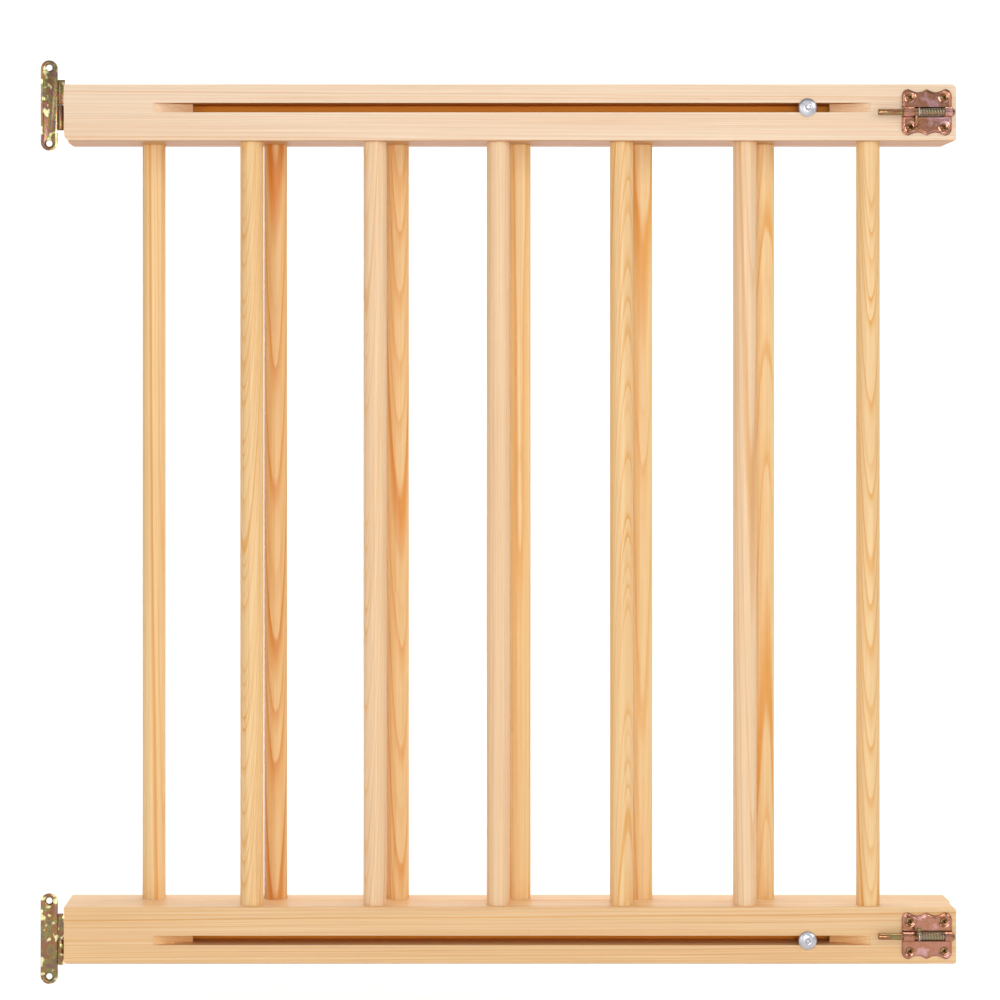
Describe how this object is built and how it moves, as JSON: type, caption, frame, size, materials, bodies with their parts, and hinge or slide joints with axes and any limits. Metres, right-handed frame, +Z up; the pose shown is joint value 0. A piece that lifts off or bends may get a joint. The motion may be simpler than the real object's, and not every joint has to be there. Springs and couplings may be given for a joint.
{
  "type": "safety baby gate",
  "caption": "Wooden child safety gate of two overlapping bar panels that slide to set the width, with lift-off wall hinges and spring bolts.",
  "frame": {"origin": "middle of the lower wall plate's two holes, on the plate's back face, where it meets the wall", "axes": "+X along the gate's width from the hinges to the latches, +Y from the front towards the wall, +Z up"},
  "size_m": [0.743, 0.0674, 0.756],
  "materials": {
    "pine_front_rail": "clear satin lacquer on planed pine",
    "pine_rear_rail": "clear satin lacquer on planed pine, warmer board",
    "pine_front_bar": "clear satin lacquer on turned pine",
    "pine_rear_bar": "clear satin lacquer on turned pine, warmer stock",
    "yellow_zinc_plate": "yellow-passivated zinc with a copper-pink bloom",
    "yellow_zinc_hinge": "yellow-passivated zinc with green and purple bloom",
    "yellow_zinc_rod": "yellow-passivated zinc, polished by use",
    "yellow_zinc_screw": "yellow-passivated zinc",
    "spring_steel": "drawn wire, light oil",
    "bright_zinc": "bright zinc plate"
  },
  "bodies": {
    "wall_side": {"upper_wall_leaf": "yellow_zinc_hinge", "lower_wall_leaf": "yellow_zinc_hinge", "upper_hinge_pin": "bright_zinc", "lower_hinge_pin": "bright_zinc"},
    "rear_panel": {"rear_upper_rail": "pine_rear_rail", "rear_lower_rail": "pine_rear_rail", "rear_bar_1": "pine_rear_bar", "rear_bar_2": "pine_rear_bar", "rear_bar_3": "pine_rear_bar", "rear_bar_4": "pine_rear_bar", "rear_bar_5": "pine_rear_bar", "rear_bar_6": "pine_rear_bar", "upper_gate_leaf": "yellow_zinc_hinge", "lower_gate_leaf": "yellow_zinc_hinge", "upper_leaf_screws": "yellow_zinc_screw", "lower_leaf_screws": "yellow_zinc_screw", "upper_clamp_nut": "bright_zinc", "lower_clamp_nut": "bright_zinc"},
    "front_panel": {"front_upper_rail": "pine_front_rail", "front_lower_rail": "pine_front_rail", "front_bar_1": "pine_front_bar", "front_bar_2": "pine_front_bar", "front_bar_3": "pine_front_bar", "front_bar_4": "pine_front_bar", "front_bar_5": "pine_front_bar", "front_bar_6": "pine_front_bar", "upper_latch_plate": "yellow_zinc_plate", "lower_latch_plate": "yellow_zinc_plate", "upper_latch_screws": "yellow_zinc_screw", "lower_latch_screws": "yellow_zinc_screw", "upper_latch_spring": "spring_steel", "lower_latch_spring": "spring_steel"},
    "upper_clamp_screw": {"upper_clamp_bolt": "bright_zinc"},
    "lower_clamp_screw": {"lower_clamp_bolt": "bright_zinc"},
    "upper_latch_slider": {"upper_latch_washer": "bright_zinc"},
    "lower_latch_slider": {"lower_latch_washer": "bright_zinc"},
    "upper_bolt": {"upper_latch_rod": "yellow_zinc_rod", "upper_latch_handle": "yellow_zinc_rod"},
    "lower_bolt": {"lower_latch_rod": "yellow_zinc_rod", "lower_latch_handle": "yellow_zinc_rod"}
  },
  "joints": [
    {"name": "gate_swing", "type": "hinge", "parent": "wall_side", "child": "rear_panel", "pos_m": [0.0097, -0.0026, 0], "axis": [0, 0, 1], "range_deg": [-95, 15]},
    {"name": "width_slide", "type": "slide", "parent": "rear_panel", "child": "front_panel", "axis": [1, 0, 0], "range_m": [0, 0.48]},
    {"name": "upper_clamp_turn", "type": "hinge", "parent": "rear_panel", "child": "upper_clamp_screw", "pos_m": [0.616, -0.0306, 0.677], "axis": [0, 1, 0], "range_deg": [-360, 0]},
    {"name": "lower_clamp_turn", "type": "hinge", "parent": "rear_panel", "child": "lower_clamp_screw", "pos_m": [0.616, -0.0306, 0.005], "axis": [0, 1, 0], "range_deg": [-360, 0]},
    {"name": "upper_latch_throw", "type": "slide", "parent": "front_panel", "child": "upper_latch_slider", "axis": [1, 0, 0], "range_m": [0, 0.012], "stiffness_N_per_m": 250, "deforming": ["upper_latch_spring"]},
    {"name": "upper_latch_turn", "type": "hinge", "parent": "upper_latch_slider", "child": "upper_bolt", "pos_m": [0.734, -0.0346, 0.673], "axis": [1, 0, 0], "range_deg": [-180, 0]},
    {"name": "lower_latch_throw", "type": "slide", "parent": "front_panel", "child": "lower_latch_slider", "axis": [1, 0, 0], "range_m": [0, 0.012], "stiffness_N_per_m": 250, "deforming": ["lower_latch_spring"]},
    {"name": "lower_latch_turn", "type": "hinge", "parent": "lower_latch_slider", "child": "lower_bolt", "pos_m": [0.734, -0.0346, 0.009], "axis": [1, 0, 0], "range_deg": [-52, 128]}
  ]
}
